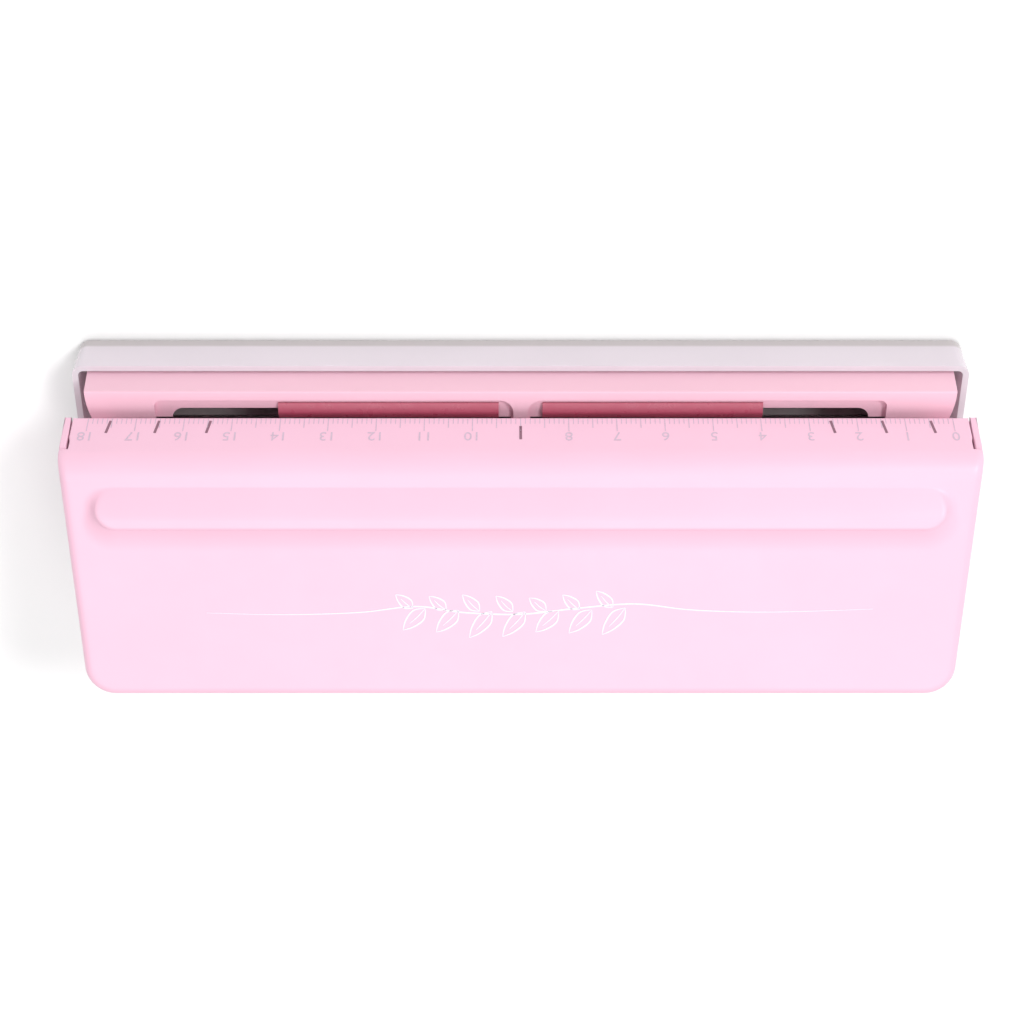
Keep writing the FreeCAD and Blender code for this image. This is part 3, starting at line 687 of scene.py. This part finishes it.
def ruler_digits():
    """Centimetre numbers over the strokes, read from the paper side."""
    size = 3.6
    verts = []
    faces = []
    for cm in range(RULER_CM + 1):
        if RULER_ZERO + 10 * cm == 0:
            continue
        curve = bpy.data.curves.new("digit", "FONT")
        curve.body = str(cm)
        curve.size = size
        curve.align_x = "CENTER"
        curve.extrude = 0.5 * PRINT_T
        curve.resolution_u = 3
        text = bpy.data.objects.new("digit", curve)
        bpy.context.scene.collection.objects.link(text)
        bpy.context.view_layer.update()
        mesh = bpy.data.meshes.new_from_object(text.evaluated_get(bpy.context.evaluated_depsgraph_get()))
        first = len(verts)
        for vert in mesh.vertices:
            x = RULER_ZERO + 10 * cm + vert.co.x
            verts.append(band_point(x, 4.5 + vert.co.y, PRINT_LIFT + 0.5 * PRINT_T + vert.co.z))
        faces += [tuple(first + i for i in polygon.vertices) for polygon in mesh.polygons]
        bpy.data.objects.remove(text)
        bpy.data.meshes.remove(mesh)
        bpy.data.curves.remove(curve)
    return make_object("ruler_digits", verts, faces, False)


finish_piece(ruler_ticks(), "ruler_ink", "lever")
finish_piece(ruler_digits(), "ruler_ink", "lever")
finish_piece(size_marks(), "mark_ink", "lever")


# ---------------------------------------------------------------- printed sprig
SPRIG_S = 33.8


def curve_points(knots, count):
    """Points of a Catmull-Rom curve through knots."""
    points = []
    padded = [knots[0]] + list(knots) + [knots[-1]]
    for k in range(len(knots) - 1):
        p0, p1, p2, p3 = (Vector(p) for p in padded[k:k + 4])
        for step in range(count):
            t = step / count
            points.append(0.5 * (2 * p1 + (p2 - p0) * t + (2 * p0 - 5 * p1 + 4 * p2 - p3) * t * t
                                 + (3 * p1 - p0 - 3 * p2 + p3) * t ** 3))
    points.append(Vector(knots[-1]))
    return [(p.x, p.y) for p in points]


def pen_widths(count, thin, thick):
    """Calligraphic widths: thin at both ends and thick in the middle."""
    return [thin + (thick - thin) * math.sin(math.pi * k / (count - 1)) for k in range(count)]


def leaf(root, tip, belly, verts, faces):
    """Outline of one leaf as two pen strokes and a short midrib."""
    root = Vector(root)
    tip = Vector(tip)
    along = tip - root
    side = Vector((-along.y, along.x)).normalized()
    for sign in (-1, 1):
        bulge = side * sign * belly
        knots = [root, root + along * 0.3 + bulge, root + along * 0.7 + bulge * 0.75, tip]
        points = curve_points([tuple(k) for k in knots], 8)
        ribbon(lever_point, points, pen_widths(len(points), 0.1, 0.32), verts, faces)
    midrib = [root, root + along * 0.35 + side * 0.15, root + along * 0.7]
    rib = curve_points([tuple(k) for k in midrib], 6)
    ribbon(lever_point, rib, pen_widths(len(rib), 0.08, 0.2), verts, faces)


def sprig():
    """White leafy sprig between two long tapering flourishes."""
    verts = []
    faces = []
    wave = ((-74, -0.6), (-52, 0.1), (-36, -0.4), (-24, -1.8), (-12, -0.8), (0, 0.6), (12, 0.2),
            (22, -1.2), (34, 0.2), (50, 0.7), (66, 0.3))
    stem = curve_points([(x, SPRIG_S + offset) for x, offset in wave], 8)
    ribbon(lever_point, stem, pen_widths(len(stem), 0.08, 0.36), verts, faces)
    for k in range(7):
        x = -22.0 + 7.0 * k
        level = SPRIG_S - 0.9 + 0.9 * math.sin(0.5 * k)
        rise = 5.6 + 0.7 * math.cos(1.7 * k)
        leaf((x, level), (x + 4.8, level + rise), 1.5, verts, faces)
        leaf((x + 2.6, level), (x + 6.2, level - 0.62 * rise), 1.15, verts, faces)
    return make_object("panel_sprig", verts, faces, False)


finish_piece(sprig(), "white_ink", "lever")


# ---------------------------------------------------------------- bump stop collars
DECK_TOP_Y = 26.8
DECK_TOP_Z = 27.0
DECK_REAR_Y = 49.0
DECK_REAR_Z = 17.5
DECK_SLOPE = (DECK_TOP_Z - DECK_REAR_Z) / (DECK_REAR_Y - DECK_TOP_Y)
COLLAR_TOP = 22.58
COLLAR_GAP = 0.03


def bump_collar(node):
    """Rubber collar between the sloping deck and the underside of a bump stop's head."""
    low, high = (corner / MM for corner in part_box(node))
    centre = 0.5 * (low + high)
    radius = 0.5 * (high.x - low.x) - 0.02
    around = 48
    verts = []
    for level in range(2):
        for k in range(around):
            angle = 2 * math.pi * k / around
            x = centre.x + radius * math.cos(angle)
            y = centre.y + radius * math.sin(angle)
            deck = DECK_TOP_Z - DECK_SLOPE * (y - Y_SHIFT - DECK_TOP_Y) + COLLAR_GAP
            verts.append(Vector((x, y, COLLAR_TOP if level else deck)) * MM)
    faces = [(k, (k + 1) % around, around + (k + 1) % around, around + k) for k in range(around)]
    faces += [tuple(reversed(range(around))), tuple(range(around, 2 * around))]
    return make_object(node.replace("stop", "collar"), verts, faces, False)


for node_name in NODES:
    if node_name.startswith("bump_stop"):
        finish_piece(bump_collar(node_name), "bump_rubber", "punch_base")


# ---------------------------------------------------------------- punch springs
SPRING_TURNS = 5.5
SPRING_WIRE = 0.25


def coil_spring(node):
    """Compression spring, wound closer at its ends, in the place of its CAD node."""
    low, high = (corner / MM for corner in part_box(node))
    centre = 0.5 * (low + high)
    radius = 0.5 * (high.x - low.x) - SPRING_WIRE
    bottom = low.z + SPRING_WIRE
    travel = high.z - low.z - 2 * SPRING_WIRE
    around = 24
    count = int(SPRING_TURNS * around)
    ring = 8
    verts = []
    for k in range(count + 1):
        turn = k / around
        share = turn / SPRING_TURNS
        rise = 0.35 * smooth(share) + 0.65 * share
        angle = 2 * math.pi * turn
        out = Vector((math.cos(angle), math.sin(angle), 0))
        axis = Vector((centre.x, centre.y, bottom + travel * rise)) + out * radius
        for i in range(ring):
            spin = 2 * math.pi * i / ring
            away = out * math.cos(spin) + Vector((0, 0, math.sin(spin)))
            verts.append((axis + away * SPRING_WIRE) * MM)
    faces = []
    for k in range(count):
        for i in range(ring):
            a = k * ring + i
            b = k * ring + (i + 1) % ring
            faces.append((a, b, b + ring, a + ring))
    faces.append(tuple(reversed(range(ring))))
    faces.append(tuple(range(count * ring, (count + 1) * ring)))
    return make_object("coil_" + node[len("punch_spring_"):], verts, faces)


for side_name in ("left", "right"):
    for number in (1, 2, 3):
        spring_node = "punch_spring_%s_%d" % (side_name, number)
        carriage = "carriage_" + side_name
        spring = finish_piece(coil_spring(spring_node), "spring_steel", carriage)
        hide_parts(spring_node)
        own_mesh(spring)


# ---------------------------------------------------------------- studio
def floor():
    """Plain pale floor."""
    size = 5.0
    corners = [Vector((x * size, y * size, 0)) for x, y in ((-1, -1), (1, -1), (1, 1), (-1, 1))]
    obj = make_object("floor", corners, [(0, 1, 2, 3)], False)
    ground = Surface("floor_paper", **{"Roughness": 0.9, "Specular IOR Level": 0.1})
    ground.colour(ground.mix(ground.ramp(ground.noise(6.0), 0, 1), (0.97, 0.97, 0.97), (0.98, 0.98, 0.98)))
    obj.data.materials.append(ground.material)


def soft_box(name, place, target, size, power):
    """Large square area light aimed at a point."""
    light = bpy.data.lights.new(name, "AREA")
    light.shape = "SQUARE"
    light.size = size
    light.energy = power
    obj = bpy.data.objects.new(name, light)
    bpy.context.scene.collection.objects.link(obj)
    obj.location = place
    obj.rotation_mode = "QUATERNION"
    obj.rotation_quaternion = (Vector(target) - Vector(place)).to_track_quat("-Z", "Y")


def studio():
    """Even white surroundings, a broad soft box overhead and a smaller one at the front left."""
    world = bpy.data.worlds.new("studio")
    world.use_nodes = True
    background = world.node_tree.nodes["Background"]
    background.inputs["Color"].default_value = (1.0, 1.0, 1.0, 1.0)
    background.inputs["Strength"].default_value = 0.5
    bpy.context.scene.world = world
    bpy.context.scene.view_settings.view_transform = "Standard"
    soft_box("overhead", (0.0, 0.1, 1.5), (0, 0, 0.02), 1.2, 12.0)
    soft_box("key", (-0.7, -0.75, 1.1), (0, 0, 0.02), 0.35, 9.0)


def camera():
    """Camera high in front of the paper side, rolled so that the paper side is at the top."""
    data = bpy.data.cameras.new("camera")
    data.sensor_width = 36.0
    data.lens = 75.94
    data.clip_start = 0.01
    data.clip_end = 20.0
    obj = bpy.data.objects.new("camera", data)
    bpy.context.scene.collection.objects.link(obj)
    down = math.radians(55.0)
    right = Vector((-1, 0, 0))
    up = Vector((0, -math.sin(down), -math.cos(down)))
    back = Vector((0, -math.cos(down), math.sin(down)))
    axes = Matrix((right, up, back)).transposed().to_4x4()
    place = Matrix.Translation(Vector((1.8, -244.0 + Y_SHIFT, 403.0)) * MM)
    obj.matrix_world = place @ axes
    bpy.context.scene.camera = obj


floor()
studio()
camera()
